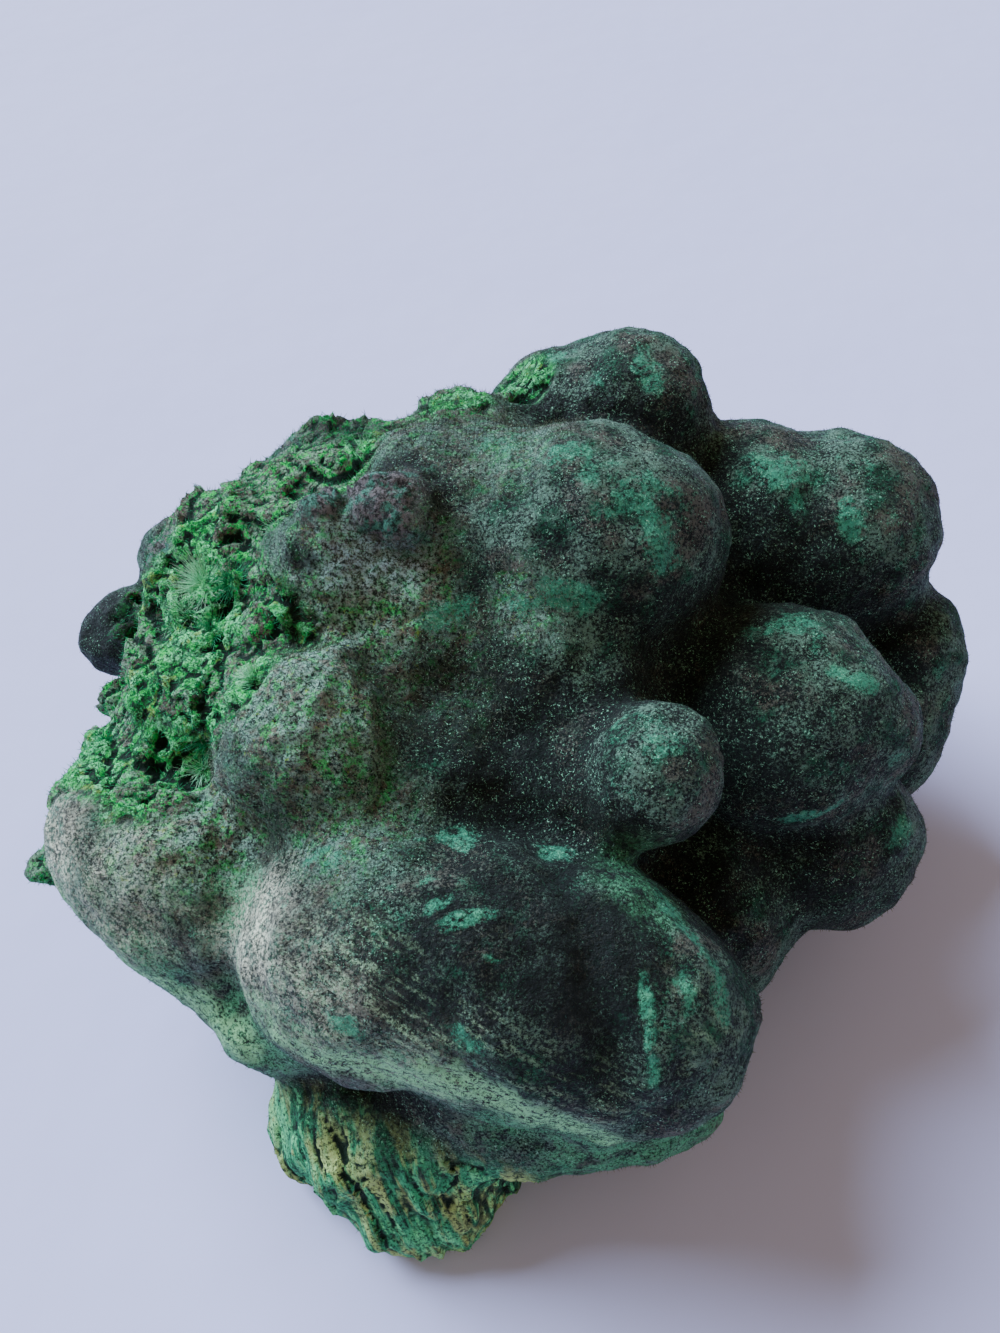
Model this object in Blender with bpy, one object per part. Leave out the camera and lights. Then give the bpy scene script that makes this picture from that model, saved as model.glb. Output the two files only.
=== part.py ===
"""Malachite specimen: one botryoidal stone that stands on its own broken base.

The stone is a single solid. Rounded lobes of malachite grew over one another, so the shape is made the
way it grew: a smooth body first, then the broad swells, then the lobes that stand clear of it. Crags on
the weathered upper left side and on the broken front foot come last.
Run with: blender --background --python part.py
The tables are in millimetres and the scene is in metres. +Z is up, -Y is the front, and the origin is
in the middle of the stone's box at the level of the flat base.
"""

import math
import random

import bmesh
import bpy
from mathutils import Euler, Matrix, Vector

MM = 0.001
NODE = "malachite_stone"
GRAIN = 0.9  # edge of the voxels that fuse the lobes, mm
BODY_ROUNDING = 30  # smoothing passes after each stage of growth
SWELL_ROUNDING = 14
LOBE_ROUNDING = 4
CRAG_ROUNDING = 2
TRIANGLES = 8000  # about this many in the finished solid
BUMP_SIZE = 7.0  # width of the low unevenness of the skin, mm
BUMP_HEIGHT = 2.2  # its full height, mm
BASE_LEVEL = 0.0  # height of the flat cut of the base in the tables, mm
SEED = 11

# Each lobe is an ellipsoid: its centre, its three radii and its turns about X, Y and Z in degrees.
BODY = {
    "heart": ((-2, -2, 23), (28, 26, 16), (0, 0, 0)),
    "shoulder": ((2, 6, 35), (22, 19, 14), (0, 0, 0)),
    "right_stalk": ((23, 2, 20), (19, 19, 16), (0, 0, 0)),
    "left_shoulder": ((-21, 2, 30), (19, 17, 14), (0, 0, 0)),
    "back": ((8, 20, 30), (26, 17, 17), (0, 0, 0)),
    "base": ((-2, -12, 8), (27, 26, 16), (0, 0, 0)),
    "front": ((1, -32, 31), (23, 12.5, 12.5), (0, 8, -12)),
    "front_left_end": ((-11, -30, 31), (12.5, 12, 12.5), (0, 0, 0)),
    "front_right_end": ((11.5, -35, 28), (12, 11, 13), (0, 0, 0)),
    "left": ((-31, -20, 25), (18, 11, 11.5), (0, 10, -34)),
    "left_under": ((-29.5, -22.5, 23), (15, 9.5, 9), (0, 10, -34)),
    "skirt": ((6, -38.5, 15.5), (18, 8, 8), (0, 8, 0)),
}
SWELLS = {
    "dome": ((9, 7, 46), (14, 12.5, 12), (0, 0, 0)),
    "dome_left": ((-4, 11, 45), (12, 11, 10), (0, 0, 0)),
    "dome_low": ((5, -5, 40), (10, 9, 8.5), (0, 0, 0)),
    "back_ridge": ((-3, 20, 43), (10, 9, 9), (0, 0, 0)),
    "left_dome": ((-15, 5, 43.5), (10, 9.5, 9.5), (0, 0, 0)),
    "groove": ((-7, 1, 41), (10, 9, 8.5), (0, 0, 0)),
    "mound": ((-17, -13, 39), (10, 9, 9.5), (0, 0, 0)),
    "saddle": ((-7, -16, 35), (10, 9, 8), (0, 0, 0)),
    "left_end": ((-39.5, -16, 25), (8, 7.5, 8.5), (0, 0, 0)),
    "left_low": ((-20, -30, 20), (10, 8, 9), (0, 0, 0)),
    "crust": ((-26, 11, 35), (13, 12, 11), (0, 0, 0)),
    "crust_back": ((-16, 19, 40), (12, 9, 9), (0, 0, 0)),
    "crust_low": ((-31, -2, 30), (10, 11, 10), (0, 0, 0)),
    "foot": ((-9.5, -38, 7), (14.5, 11, 12), (0, 0, 0)),
    "foot_tip": ((-7.5, -44, 3), (8.5, 8, 8), (0, 0, 0)),
    "right_web": ((22, -20, 17), (10, 11, 12), (0, 0, 0)),
    "knob_stem": ((-38, 13, 23), (8, 8, 6), (0, 0, 0)),
    "nub_stem": ((9, -14, 36), (9, 8, 8), (0, 0, 0)),
}
LOBES = {
    "crown": ((14, 27, 44), (10, 10, 11), (0, 0, 0)),
    "crown_left": ((7, 28, 44), (8, 8, 8), (0, 0, 0)),
    "back_right": ((38.5, 19, 34), (12.5, 12.5, 13), (0, 0, 0)),
    "back_right_inner": ((30, 20, 34), (12, 12, 13), (0, 0, 0)),
    "far_right": ((48, 10, 20.5), (8, 11, 12), (0, 0, 0)),
    "far_right_low": ((46, 2, 18), (7, 8, 10), (0, 0, 0)),
    "low_right": ((34, -13, 20), (12, 10.5, 11), (0, 0, 0)),
    "plum": ((29, -6, 33), (12.5, 12, 12), (0, -20, 0)),
    "plum_tip": ((34, -7, 34), (9, 8, 8), (0, 0, 0)),
    "nub": ((13.5, -18, 42), (6.5, 6.5, 7.5), (0, 0, 0)),
    "under_right": ((20, -27, 12), (7, 8, 8), (0, 0, 0)),
    "under_back": ((4, 20, 10), (22, 14, 10), (0, 0, 0)),
    "back_lobe": ((22, 32, 24), (12, 10, 11), (0, 0, 0)),
    "back_low": ((-2, 32, 22), (13, 9, 10), (0, 0, 0)),
    "back_left": ((-24, 24, 24), (12, 9, 10), (0, 0, 0)),
}
KNOBS = {
    "left_knob": ((-45, 12, 24), (6, 5.5, 5.5), (0, 0, 0)),
    "far_knob": ((-39, 21, 28), (5.5, 5, 6), (0, 0, 0)),
    "left_nub": ((-47, -17, 21), (5, 3, 2.5), (0, 0, 0)),
    "left_tooth": ((-42, -6.6, 29), (3.2, 2.4, 2.6), (0, 0, 0)),
    "left_tooth_low": ((-43.5, 2, 24.5), (3, 3, 3), (0, 0, 0)),
    "nodule": ((-16, 3.5, 51.5), (3.2, 3, 3), (0, 0, 0)),
    "far_nodule": ((-10, 5, 53), (3.4, 3, 3.2), (0, 0, 0)),
}

# Crags grow on the skin inside a box: its two corners, how many, their radii along and across, mm.
CRAGS = {
    "crust_crags": ((-41, -8, 26), (-14, 34, 60), 70, (2.4, 1.2)),
    "foot_crags": ((-26, -56, 0), (4, -36, 17), 40, (3.4, 0.9)),
}
UPRIGHT = {"foot_crags"}  # these run up and down the face that they grow on


def add_lobe(mesh, centre, radii, turn, subdivisions=4):
    """Adds one ellipsoid to a bmesh; its turn is a matrix."""
    place = Matrix.Translation(Vector(centre) * MM)
    size = Matrix.Diagonal((*[r * MM for r in radii], 1))
    ball = place @ turn @ size
    bmesh.ops.create_icosphere(mesh, subdivisions=subdivisions, radius=1, matrix=ball)


def object_of(mesh, name):
    """Makes an object of a bmesh and frees the bmesh."""
    data = bpy.data.meshes.new(name)
    mesh.to_mesh(data)
    mesh.free()
    made = bpy.data.objects.new(name, data)
    bpy.context.scene.collection.objects.link(made)
    return made


def lobed_object(name, *tables):
    """Makes one object that holds every lobe of the tables, not yet fused."""
    mesh = bmesh.new()
    for table in tables:
        for centre, radii, turns in table.values():
            turn = Euler([math.radians(t) for t in turns]).to_matrix().to_4x4()
            add_lobe(mesh, centre, radii, turn)
    return object_of(mesh, name)


def crag_object(stone):
    """Makes one object that holds every crag, placed on the stone's skin."""
    chance = random.Random(SEED)
    mesh = bmesh.new()
    for name, (low, high, count, (along, across)) in CRAGS.items():
        spots = []
        for face in stone.data.polygons:
            spot = face.center / MM
            if all(a < c < b for a, c, b in zip(low, spot, high)):
                spots.append((spot.copy(), face.normal.copy()))
        for spot, normal in chance.sample(spots, count):
            lie = normal.to_track_quat("Z", "Y").to_matrix().to_4x4()
            if name not in UPRIGHT:
                lie = lie @ Matrix.Rotation(chance.uniform(0, math.pi), 4, "Z")
            scale = chance.uniform(0.6, 1.4)
            radii = (across * scale, along * scale, across * scale)
            add_lobe(mesh, spot, radii, lie, 2)
    return object_of(mesh, "crags")


def fuse(stone, rounding):
    """Fuses overlapping lobes into one skin and rounds the creases where they meet."""
    remesh = stone.modifiers.new("fuse", "REMESH")
    remesh.mode = "VOXEL"
    remesh.voxel_size = GRAIN * MM
    smooth = stone.modifiers.new("round", "SMOOTH")
    smooth.factor = 0.5
    smooth.iterations = rounding
    settle(stone)


def settle(stone):
    """Applies the modifiers."""
    graph = bpy.context.evaluated_depsgraph_get()
    data = bpy.data.meshes.new_from_object(stone.evaluated_get(graph))
    stone.modifiers.clear()
    stone.data = data


def join(stone, other):
    """Adds the other object's skin to the stone's and removes the other object."""
    mesh = bmesh.new()
    mesh.from_mesh(stone.data)
    mesh.from_mesh(other.data)
    mesh.to_mesh(stone.data)
    mesh.free()
    bpy.data.objects.remove(other)


def roughen(stone):
    """Gives the skin its low natural unevenness."""
    clouds = bpy.data.textures.new("unevenness", "CLOUDS")
    clouds.noise_scale = BUMP_SIZE * MM
    bump = stone.modifiers.new("unevenness", "DISPLACE")
    bump.texture = clouds
    bump.texture_coords = "LOCAL"
    bump.strength = BUMP_HEIGHT * MM
    bump.mid_level = 0.5
    settle(stone)


def thin_out(stone):
    """Reduces the skin to about the wanted number of triangles."""
    stone.data.calc_loop_triangles()
    thin = stone.modifiers.new("thin", "DECIMATE")
    thin.ratio = TRIANGLES / len(stone.data.loop_triangles)
    settle(stone)


def cut_base(stone):
    """Trims the broken base flat, so that the stone stands."""
    mesh = bmesh.new()
    mesh.from_mesh(stone.data)
    everything = mesh.verts[:] + mesh.edges[:] + mesh.faces[:]
    cut = bmesh.ops.bisect_plane(
        mesh,
        geom=everything,
        plane_co=(0, 0, BASE_LEVEL * MM),
        plane_no=(0, 0, -1),
        clear_outer=True,
    )
    rim = [part for part in cut["geom_cut"] if isinstance(part, bmesh.types.BMEdge)]
    bmesh.ops.edgenet_fill(mesh, edges=rim)
    bmesh.ops.triangulate(mesh, faces=mesh.faces[:])
    bmesh.ops.recalc_face_normals(mesh, faces=mesh.faces[:])
    mesh.to_mesh(stone.data)
    mesh.free()


def settle_on_origin(stone):
    """Moves the middle of the base of the stone's box to the origin."""
    spots = [vertex.co for vertex in stone.data.vertices]
    low = Vector([min(spot[axis] for spot in spots) for axis in range(3)])
    high = Vector([max(spot[axis] for spot in spots) for axis in range(3)])
    middle = (low + high) / 2
    shift = Vector((-middle.x, -middle.y, -low.z))
    stone.data.transform(Matrix.Translation(shift))
    return shift


def colour(stone):
    """Gives the stone one plain dark green material."""
    malachite = bpy.data.materials.new("malachite")
    malachite.use_nodes = True
    shader = malachite.node_tree.nodes["Principled BSDF"]
    shader.inputs["Base Color"].default_value = (0.03, 0.09, 0.06, 1)
    shader.inputs["Roughness"].default_value = 0.85
    shader.inputs["Metallic"].default_value = 0.0
    stone.data.materials.clear()
    stone.data.materials.append(malachite)


def build():
    for old in list(bpy.data.objects):
        bpy.data.objects.remove(old)
    stone = lobed_object(NODE, BODY)
    fuse(stone, BODY_ROUNDING)
    join(stone, lobed_object("swells", SWELLS))
    fuse(stone, SWELL_ROUNDING)
    join(stone, lobed_object("lobes", LOBES, KNOBS))
    fuse(stone, LOBE_ROUNDING)
    roughen(stone)
    join(stone, crag_object(stone))
    fuse(stone, CRAG_ROUNDING)
    thin_out(stone)
    cut_base(stone)
    shift = settle_on_origin(stone)
    colour(stone)
    stone.data.polygons.foreach_set("use_smooth", [True] * len(stone.data.polygons))
    return shift


SHIFT = build()
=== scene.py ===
"""Malachite specimen: the looks of the stone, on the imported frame.

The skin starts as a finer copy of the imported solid. Each kind of surface is carved into it: the velvet of
the rounded lobes, the moss, the bare rock, the broken crust and the striped broken foot. Sprays of needles
and a scatter of fine fibres are pieces of their own that ride with it.
Units are millimetres in the tables and metres in the scene. +Z is up and -Y is the front.
"""

import itertools
import math

import bpy
import numpy as np
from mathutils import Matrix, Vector
from mathutils.bvhtree import BVHTree
from mathutils.kdtree import KDTree


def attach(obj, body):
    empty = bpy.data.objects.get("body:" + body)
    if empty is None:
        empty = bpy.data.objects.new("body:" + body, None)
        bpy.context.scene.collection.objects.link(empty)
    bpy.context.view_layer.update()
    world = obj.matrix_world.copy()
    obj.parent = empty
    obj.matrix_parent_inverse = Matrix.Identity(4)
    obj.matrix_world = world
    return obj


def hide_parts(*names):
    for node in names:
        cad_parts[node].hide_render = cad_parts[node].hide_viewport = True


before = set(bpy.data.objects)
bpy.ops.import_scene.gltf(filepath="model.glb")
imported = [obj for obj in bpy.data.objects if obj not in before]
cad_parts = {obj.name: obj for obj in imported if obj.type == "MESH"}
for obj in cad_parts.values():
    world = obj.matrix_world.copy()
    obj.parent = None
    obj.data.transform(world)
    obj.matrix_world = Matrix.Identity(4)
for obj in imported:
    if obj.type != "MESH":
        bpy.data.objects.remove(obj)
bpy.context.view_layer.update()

MM = 0.001
NODE = "malachite_stone"
GRAIN = 0.42  # edge of the finished skin's quads, mm
CAMERA_ELEVATION = 54.0  # degrees above the horizon
CAMERA_DISTANCE = 107.0  # mm, from the point it looks at
CAMERA_TARGET = (-2.3, 4.9, 34.0)
CAMERA_LENS = 27.0
FLOOR_SIZE = 18.0  # metres
PAPER_TONES = ((0.60, 0.615, 0.98), (0.66, 0.675, 1.0))
WINDOW_DIRECTION = (-0.42, 0.34, 0.39)
WINDOW_SPREAD = 44.0  # degrees
WINDOW_POWER = 9.8
WINDOW_COLOUR = (0.66, 0.78, 1.0)
ROOM_COLOUR = (1.0, 0.80, 0.60, 1)
ROOM_STRENGTH = 0.42
UNREACHED = 9.0  # more than any distance inside a noise cell

# Where the crust is: balls, as centre, radius and strength.
CRUST = [
    ((-30, 19, 44), 14, 1.0),
    ((-32, 4, 42), 12, 1.0),
    ((-27, -5, 43), 6, 1.0),
    ((-20, 27, 46), 10, 1.0),
    ((-22, 15, 50), 7, 1.0),
    ((-8, 26, 50), 5, 0.8),
    ((0, 32, 51), 4, 0.9),
    ((-44, -3, 31), 9, 1.0),
    ((-36, -9, 35), 6, 1.0),
    ((-40, 14, 34), 10, 1.0),
    ((-30, 30, 30), 12, 0.9),
    ((-49, -12, 21), 4, 1.0),
    ((-45, -2, 29), 5, 1.0),
    ((-46, 7, 25), 5, 1.0),
]
# The broken foot and base, in the same way.
FOOT = [
    ((-12, -42, 6), 17, 1.0),
    ((-20, -36, 6), 12, 1.0),
]
# Brown and green mossy velvet beside the crust.
MOSS = [
    ((-15, 4, 50), 11, 1.0),
    ((-20, -9, 46), 10, 0.85),
    ((-9, 22, 52), 9, 0.35),
    ((-3, 16, 56), 8, 0.35),
    ((-30, -14, 37), 9, 0.8),
    ((-8, -3, 44), 8, 0.5),
    ((0, 1, 49), 5, 0.5),
    ((-34, -18, 36), 8, 0.6),
    ((-16, -17, 42), 8, 0.5),
]
# Bare mauve rock.
BARE = [
    ((-19.1, 9.0, 53.6), 2.8, 1.0),
    ((-13.2, 9.6, 54.4), 4.2, 1.0),
    ((-10.6, 6.4, 52), 2.6, 0.6),
    ((-39, 15, 41), 4.0, 0.9),
    ((-26, 26, 46), 3.0, 0.8),
]
# Where the crust is at its brightest.
VIVID = [
    ((-32, 6, 42), 8, 1.0),
    ((-26, -4, 45), 4.5, 1.0),
    ((-31, -6, 37), 6, 1.0),
    ((-16.7, 23, 49), 4, 1.0),
    ((-22, 12, 50), 4, 0.9),
    ((-43, -5, 31), 6, 0.8),
    ((-29, 14, 45), 5, 0.7),
    ((0, 32, 51), 4, 1.0),
    ((-30, 32, 26), 8, 0.7),
    ((-16.6, 12, 52), 3, 1.0),
    ((-22, 2, 49), 5, 0.8),
]
# Round nodules that stand out of the skin: centre and radius.
NODULES = [
    ((-19.2, 8.9, 52.6), 2.5),
    ((-13.6, 9.6, 53.2), 3.0),
    ((-11.6, 8.2, 52.6), 2.6),
]
# Shallow folds: points along each, half width and depth.
FOLDS = [
    (((2, -19, 41), (4.5, -26, 43), (5.5, -33, 41), (7.5, -37, 36), (9, -40, 31)), 2.4, 0.9),
    (((9.5, -22, 40), (12, -30, 40), (12.6, -36, 36)), 1.6, 0.4),
    (((-28, -18, 36), (-27, -24, 33), (-27, -30, 26)), 2.2, 0.6),
    (((-2, 24, 54), (1, 17, 57), (0, 8, 55)), 2.0, 0.5),
    (((22, 26, 47), (24, 19, 45), (22, 12, 40)), 1.8, 0.5),
    (((-16, -2, 49), (-12, -8, 46), (-12, -14, 43)), 1.8, 0.6),
]
# Darker velvet, partly its own darker tone and partly painted shade in the valleys between the lobes and on
# the top of the foot under the front lobe.
DARK_AND_SHADE = [
    ((0, -12, 41), 8, 0.9),
    ((4, -8, 43), 6, 0.7),
    ((-2, -29, 43), 9, 0.7),
    ((10, -38, 34), 7, 0.5),
    ((-7, -30, 43), 8, 0.7),
    ((-49, 14, 27), 8, 1.0),
    ((-25, 28, 42), 7, 0.7),
    ((-36, 24, 36), 7, 0.6),
    ((-19, 27, 48), 7, 0.8),
    ((-25, -8, 43), 4.5, 0.7),
    ((-14, -34, 20), 5, 0.9),
    ((-20, -34, 14), 5, 0.6),
    ((-2, -41, 8), 6, 0.8),
    ((12, -13, 48), 5, 0.4),
    ((-5, -6, 43), 10, 0.9),
    ((4, -30, 42), 9, 0.9),
    ((7, -36, 37), 7, 0.7),
    ((11, 26, 52), 8, 0.5),
    ((-6, 20, 55), 8, 0.55),
    ((-3, -14, 40), 8, 0.9),
    ((28, -8, 40), 10, 0.4),
    ((34, -16, 26), 12, 0.6),
    ((-12, 14, 53), 4, 1.0),
    ((-21, 5, 51), 2.4, 1.0),
    ((-9, 11, 54), 3.0, 0.9),
    ((30, 14, 42), 8, 0.6),
    ((-14, -28, 42), 7, 0.5),
]
# Painted sheen: a pale mauve-grey on the rims that face the window at the back left, and painted light on the
# shaded slope under the nodules.
PAINTED_SHEEN = [
    ((-23.5, -25.5, 36), 8.5, 1.0),
    ((-46, -14, 30), 9, 1.0),
    ((-38, -20, 33), 10, 0.5),
    ((-17, -31, 37), 9, 0.35),
    ((-10, -36, 34), 8, 0.3),
    ((-15, 4.4, 50.5), 4.5, 0.2),
]
# Painted light: a cool pale grey on the slope under the nodules, which faces away from the window.
PAINTED_SLOPE_LIGHT = [
    ((-15.5, 5, 51), 5.0, 0.9),
    ((-11.5, 5.5, 50.5), 4.0, 0.8),
]
# Greener velvet on the low edges.
LUSH = [
    ((7, -41, 19), 8, 1.0),
    ((-1, -40, 26), 7, 1.0),
    ((16, -38, 18), 7, 1.0),
    ((-26, -31, 24), 8, 0.9),
    ((-36, -25, 25), 8, 0.9),
    ((-46, -18, 26), 7, 0.8),
    ((-9, -38, 32), 6, 0.7),
    ((-26, -21, 34), 4, 0.8),
    ((10, -22, 39), 6, 0.5),
    ((-27, -33, 10), 7, 1.0),
    ((-8, -46, 5), 5, 0.7),
]
# Smoother velvet with few specks.
CALM = [
    ((0, -31, 42), 15, 1.0),
    ((-20, -26, 38), 9, 1.0),
    ((-38, -18, 33), 13, 1.0),
    ((14, -32, 38), 9, 0.8),
]
# Velvet with stripes that run down to the right.
STRIPED = [
    ((-15, -33, 38), 10, 1.0),
    ((-5, -37, 35), 9, 1.0),
    ((4, -39, 33), 7, 0.8),
    ((-35, -22, 33), 9, 0.9),
    ((14, -33, 36), 6, 0.5),
]
# Places where the velvet is rubbed to teal: centre, direction, half length, half width, strength.
RUBBED = [
    ((13, 29, 54), (0.3, -1, 0), 3.4, 2.2, 0.8),
    ((4, 34, 52), (1, 0.1, 0), 2.6, 1.2, 0.8),
    ((8, 28, 53), (0.2, -1, 0), 1.4, 0.8, 0.5),
    ((3.5, 11.6, 58), (1, 0.2, 0), 3.0, 1.5, 0.8),
    ((9.3, 7.6, 57), (1, -0.4, 0), 4.4, 3.0, 0.6),
    ((12.2, 5.0, 54), (0.4, -1, -0.4), 4.4, 2.2, 0.8),
    ((4.2, 0.7, 51), (1, -0.2, 0), 3.2, 1.8, 0.9),
    ((0.1, 1.1, 49.4), (1, 0.1, 0), 2.6, 1.5, 0.8),
    ((-6.6, 1.6, 47.3), (1, 0.3, 0.1), 3.4, 1.4, 0.8),
    ((-2, 16, 57), (1, -0.5, 0), 5.0, 3.0, 0.5),
    ((27.8, 21.5, 46.3), (1, -0.6, 0), 4.6, 2.8, 0.8),
    ((29.6, 18.5, 45), (0.3, -1, -0.3), 3.4, 1.4, 0.8),
    ((35, 16.3, 44), (0.3, -1, -0.3), 2.6, 1.8, 0.9),
    ((31.1, -4.0, 44), (1, -0.4, 0), 3.2, 1.0, 1.0),
    ((25.1, 2.5, 44.2), (1, 0.1, 0), 3.6, 2.0, 0.6),
    ((28, -12.4, 34), (1, 0.1, 0.5), 3.0, 0.7, 1.0),
    ((11.5, -5, 46), (0.5, 1, -0.8), 3.2, 0.9, 1.0),
    ((8.6, -9.6, 48), (0.6, 1, 0), 2.4, 0.9, 1.0),
    ((11.3, -13.8, 49), (0.4, -1, 0), 3.0, 2.4, 0.5),
    ((-6.4, -18.8, 40.8), (1, 0.1, 0), 2.8, 1.6, 0.9),
    ((-9.5, -19.5, 41.4), (1, 0.4, 0), 1.6, 0.6, 0.9),
    ((3.0, -19, 39.2), (1, -0.4, 0), 2.6, 1.3, 0.7),
    ((8, -22, 38), (1, -0.6, 0), 2.4, 0.8, 0.6),
    ((-13, -22, 43.5), (1, 0.3, 0), 1.2, 0.8, 0.8),
    ((-16.6, -21, 42.5), (1, 0.3, 0), 1.4, 1.0, 0.7),
    ((-5.5, -27.3, 43.8), (1, 0.25, 0), 2.6, 0.7, 0.7),
    ((-7.2, -26, 43.7), (1, 0.5, 0), 1.3, 0.6, 0.8),
    ((-8.4, -23.6, 43.6), (1, 0.5, 0), 1.3, 0.6, 0.7),
    ((-14.3, -34.5, 38.6), (0.9, -0.5, -0.3), 2.4, 1.0, 0.9),
    ((-4.7, -35.5, 39.6), (0.8, -0.5, -0.3), 2.2, 0.9, 0.8),
    ((-2.7, -30.4, 43), (1, -0.2, 0), 1.3, 0.7, 0.7),
    ((9.6, -34.4, 38.9), (0.08, -0.87, -0.49), 4.6, 0.6, 1.7),
    ((10.1, -38.0, 36.5), (0.1, -0.85, -0.6), 1.4, 0.8, 0.9),
    ((13.0, -32, 39.4), (0.3, -1, -0.2), 1.9, 1.1, 0.8),
    ((16.2, -31.8, 37.7), (0.2, -1, -0.3), 4.4, 1.2, 0.7),
    ((13.1, -25.2, 38.4), (0.4, -1, 0.1), 3.6, 1.2, 0.7),
    ((38.4, -11.7, 28.4), (0.7, 0.3, 0.4), 3.0, 1.6, 0.8),
    ((-18.2, -20.4, 41.2), (0.9, 0.45, 0.1), 2.8, 0.45, 1.0),
    ((47, 10, 29), (0.3, -1, -0.2), 3.0, 1.0, 0.5),
    ((40, 26, 26), (0.3, 0.4, 1), 5.0, 2.6, 0.6),
    ((22, 36, 38), (1, 0.2, 0.4), 5.0, 2.4, 0.6),
    ((2, 40, 34), (1, 0, 0.6), 5.0, 2.6, 0.6),
]
# Pale green edges, partly their own pale green and partly painted bounce light on low rims that face away
# from the window: points along each, and half its width.
EDGES = [
    (((-23, -29, 32), (-17, -34, 34), (-11, -37, 34), (-4.7, -38, 35), (-0.7, -39, 33)), 2.8),
    (((-0.7, -39, 33), (3, -40, 30), (7, -41, 26)), 2.4),
    (((-49, -18, 26), (-42, -24, 26), (-34, -28, 25), (-27, -31, 24)), 2.6),
]
# Sprays of fibres: centre, length, how many, how far they lean away from the skin's normal, and shade.
SPRAYS = [
    ((-33.2, 9.4, 43.0), 4.8, 700, 2.4, "pale"),
    ((-34.5, 6.0, 41.5), 3.6, 300, 2.2, "pale"),
    ((-29.6, 8.2, 44.7), 3.6, 300, 1.6, "deep"),
    ((-31.3, 3.2, 41.5), 3.2, 260, 1.5, "deep"),
    ((-31.3, -6.3, 37), 3.4, 260, 1.5, "deep"),
    ((-32.3, -8.7, 35.4), 3.0, 220, 1.4, "pale"),
    ((-25.6, -5.2, 46), 2.2, 160, 1.3, "pale"),
    ((-29, 19, 46), 2.4, 120, 1.4, "deep"),
    ((-16.7, 23.1, 48.7), 1.8, 160, 1.3, "pale"),
    ((-43, -4, 33), 2.6, 160, 1.4, "deep"),
    ((0, 32.6, 50.8), 1.8, 140, 1.3, "pale"),
    ((-36, 20, 41), 2.6, 140, 1.5, "deep"),
    ((-24.5, 13.5, 47.5), 2.2, 160, 1.5, "pale"),
]
CRUST_FIBRES = 9000  # short fibres scattered on the crust
MOSS_FIBRES = 14000  # fine ones that lie flat on the mossy velvet
VELVET_FIBRES = 24000  # minute ones scattered on the velvet
STRIPES = (0.85, -0.40, -0.35)  # the way the stripes run on the striped velvet
FOOT_GRAIN = (0.30, -0.58, -0.75)  # the way the fibres run on the foot
SHEEN = 0.04
SEED = 5
SKY_RAYS = 72  # looks round each spot
SKY_REACH = 30.0  # mm, how far each look goes


def lattice(cell, seed):
    """A fixed number from 0 to 1 for each whole-number cell."""
    whole = cell.astype(np.int64) & 0xFFFFFFFF
    mixed = whole[:, 0] * 73856093 ^ whole[:, 1] * 19349663 ^ whole[:, 2] * 83492791 ^ seed * 2654435761
    mixed &= 0xFFFFFFFF
    mixed = (mixed ^ mixed >> 15) * 2246822519 & 0xFFFFFFFF
    mixed = (mixed ^ mixed >> 13) * 3266489917 & 0xFFFFFFFF
    return (mixed ^ mixed >> 16) / 4294967296.0


def noise(spots, size, seed=1):
    """Smooth noise from -1 to 1 whose blobs are about the given size."""
    scaled = spots / size
    low = np.floor(scaled)
    part = scaled - low
    part = part * part * (3 - 2 * part)
    total = np.zeros(len(spots))
    for corner in itertools.product((0, 1), repeat=3):
        share = np.prod(np.where(np.array(corner) == 1, part, 1 - part), axis=1)
        total += share * lattice(low + corner, seed)
    return total * 2 - 1


def layered(spots, size, seed=1, layers=3):
    """Noise with finer noise on top, from about -1 to 1."""
    total = np.zeros(len(spots))
    for layer in range(layers):
        total += noise(spots, size / 2**layer, seed + layer) / 2**layer
    return total / (2 - 2 ** (1 - layers))


def pebbles(spots, size, seed=1):
    """The height of a field of rounded pebbles, from 0 in the gaps to 1 on top."""
    scaled = spots / size
    low = np.floor(scaled)
    best = np.full(len(spots), UNREACHED)
    for corner in itertools.product((-1, 0, 1), repeat=3):
        cell = low + corner
        heart = cell + np.stack([lattice(cell, seed + k) for k in range(3)], axis=1)
        best = np.minimum(best, np.linalg.norm(scaled - heart, axis=1))
    return np.clip(1 - best * best, 0, 1)


def facets(spots, size, seed=1):
    """The height of a field of tilted broken facets, from about -1 to 1, and a number for each facet."""
    scaled = spots / size
    low = np.floor(scaled)
    best = np.full(len(spots), UNREACHED)
    height = np.zeros(len(spots))
    tag = np.zeros(len(spots))
    for corner in itertools.product((-1, 0, 1), repeat=3):
        cell = low + corner
        away = scaled - cell - np.stack([lattice(cell, seed + k) for k in range(3)], axis=1)
        gap = np.linalg.norm(away, axis=1)
        closer = gap < best
        tilt = np.stack([lattice(cell, seed + 3 + k) for k in range(3)], axis=1) * 2 - 1
        level = lattice(cell, seed + 6) - 0.5 + np.sum(away * tilt, axis=1)
        best = np.where(closer, gap, best)
        height = np.where(closer, level, height)
        tag = np.where(closer, lattice(cell, seed + 7), tag)
    return height, tag


def warped(spots, size, amount, seed):
    """The spots, each moved by up to the given amount, so that noise on them looks bent."""
    away = np.stack([noise(spots, size, seed + k) for k in range(3)], axis=1)
    return spots + amount * away


def combed(spots, direction, keep):
    """The spots squeezed along a direction, so that noise on them makes stripes that way."""
    axis = np.array(direction) / np.linalg.norm(direction)
    return spots - (1 - keep) * (spots @ axis)[:, None] * axis


def ramp(value, low, high):
    """0 below low, 1 above high, and smooth between them."""
    part = np.clip((value - low) / (high - low), 0, 1)
    return part * part * (3 - 2 * part)


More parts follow.
